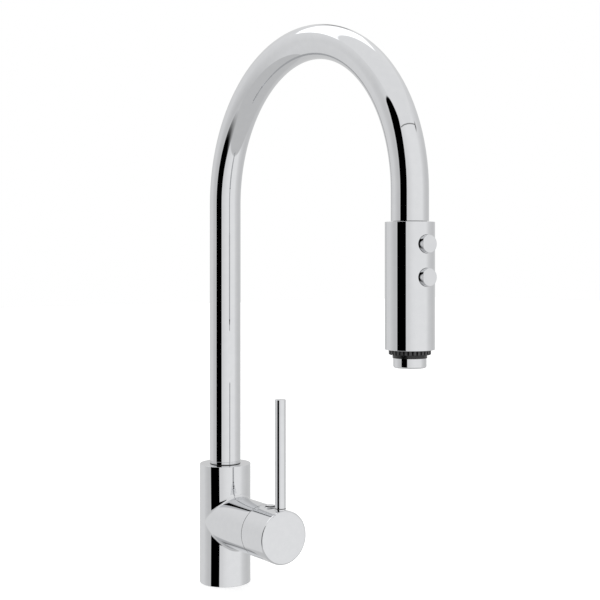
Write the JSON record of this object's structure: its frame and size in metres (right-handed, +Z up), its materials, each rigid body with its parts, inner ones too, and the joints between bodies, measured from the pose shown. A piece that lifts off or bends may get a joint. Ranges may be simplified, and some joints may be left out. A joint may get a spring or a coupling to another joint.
{
  "type": "pull down kitchen faucet",
  "caption": "Single-lever kitchen mixer on a round body, with a high swivelling arched spout and a pull-down spray head with push buttons.",
  "frame": {"origin": "centre of the body's underside, on the deck, midway between the two fixing stud holes", "axes": "+Z up along the body's axis; at rest the spout and the handle barrel point along -Y; +X completes the right-handed frame, on the cold side"},
  "size_m": [0.0494, 0.3215, 0.5194],
  "materials": {
    "polished_chrome": "polished, mirror bright",
    "brass_inside": "turned",
    "steel": "plain",
    "black_plastic": "satin, moulded",
    "white_plastic": "moulded acetal",
    "black_rubber": "matt",
    "hose_nylon": "braided nylon",
    "alumina": "lapped"
  },
  "bodies": {
    "body": {"body_casting": "polished_chrome", "base_gasket": "black_rubber", "swivel_bush_upper": "black_plastic", "swivel_bush_lower": "black_plastic", "friction_ring": "black_rubber", "spout_grub_screw": "steel", "cartridge_base": "white_plastic", "cartridge_seals": "black_rubber", "cartridge_housing": "white_plastic", "ceramic_disc_fixed": "alumina", "cartridge_nut": "brass_inside", "dome_ring": "polished_chrome"},
    "stem_carrier": {"stem_carrier": "black_plastic", "stem_pin": "steel"},
    "disc_slider": {"disc_slider": "black_plastic", "ceramic_disc_moving": "alumina"},
    "handle": {"handle_cap": "polished_chrome", "lever_rod": "polished_chrome", "lever_stem": "brass_inside", "handle_grub_screw": "steel", "index_plug": "polished_chrome", "index_plug_seal": "black_rubber"},
    "spout": {"spout_tube": "polished_chrome", "spout_sleeve": "polished_chrome", "dock_collar": "black_plastic", "spray_hose": "hose_nylon", "hose_draw": "hose_nylon"},
    "hose_end": {"hose_end_fitting": "brass_inside"},
    "spray_head": {"head_shell": "polished_chrome", "head_core": "black_plastic", "hose_washer": "black_rubber", "check_valve": "white_plastic", "spray_ring": "black_plastic", "aerator_collar": "black_plastic", "nozzle": "polished_chrome", "aerator_insert": "white_plastic", "aerator_washer": "black_rubber", "spring_upper": "steel", "spring_lower": "steel"},
    "button_upper": {"button_upper": "polished_chrome", "plunger_upper": "white_plastic", "plunger_seal_upper": "black_rubber"},
    "button_lower": {"button_lower": "polished_chrome", "plunger_lower": "white_plastic", "plunger_seal_lower": "black_rubber"}
  },
  "joints": [
    {"name": "spout_swivel", "type": "hinge", "parent": "body", "child": "spout", "pos_m": [0, 0, 0.1], "axis": [0, 0, 1], "continuous": true},
    {"name": "handle_temperature", "type": "hinge", "parent": "body", "child": "stem_carrier", "pos_m": [0, -0.0366, 0.0612], "axis": [0, -1, 0], "range_deg": [-45, 45]},
    {"name": "handle_flow", "type": "hinge", "parent": "stem_carrier", "child": "handle", "pos_m": [0, -0.0366, 0.0612], "axis": [1, 0, 0], "range_deg": [0, 22]},
    {"name": "disc_slide", "type": "slide", "parent": "stem_carrier", "child": "disc_slider", "axis": [0, 0, 1], "range_m": [0, 0.00264]},
    {"name": "spray_pull", "type": "slide", "parent": "spout", "child": "hose_end", "axis": [0, 0, -1], "range_m": [0, 0.2], "deforming": ["hose_draw"]},
    {"name": "head_swivel", "type": "hinge", "parent": "hose_end", "child": "spray_head", "pos_m": [0, -0.2732, 0.35], "axis": [0, 0, 1], "continuous": true},
    {"name": "button_upper_press", "type": "slide", "parent": "spray_head", "child": "button_upper", "axis": [0, 1, 0], "range_m": [0, 0.0025], "stiffness_N_per_m": 600, "springref_m": -0.003, "deforming": ["spring_upper"]},
    {"name": "button_lower_press", "type": "slide", "parent": "spray_head", "child": "button_lower", "axis": [0, 1, 0], "range_m": [0, 0.0025], "stiffness_N_per_m": 600, "springref_m": -0.003, "deforming": ["spring_lower"]}
  ],
  "couplings": [
    {"joint": "disc_slide", "follows": "handle_flow", "m_per_rad": 0.0068577}
  ]
}
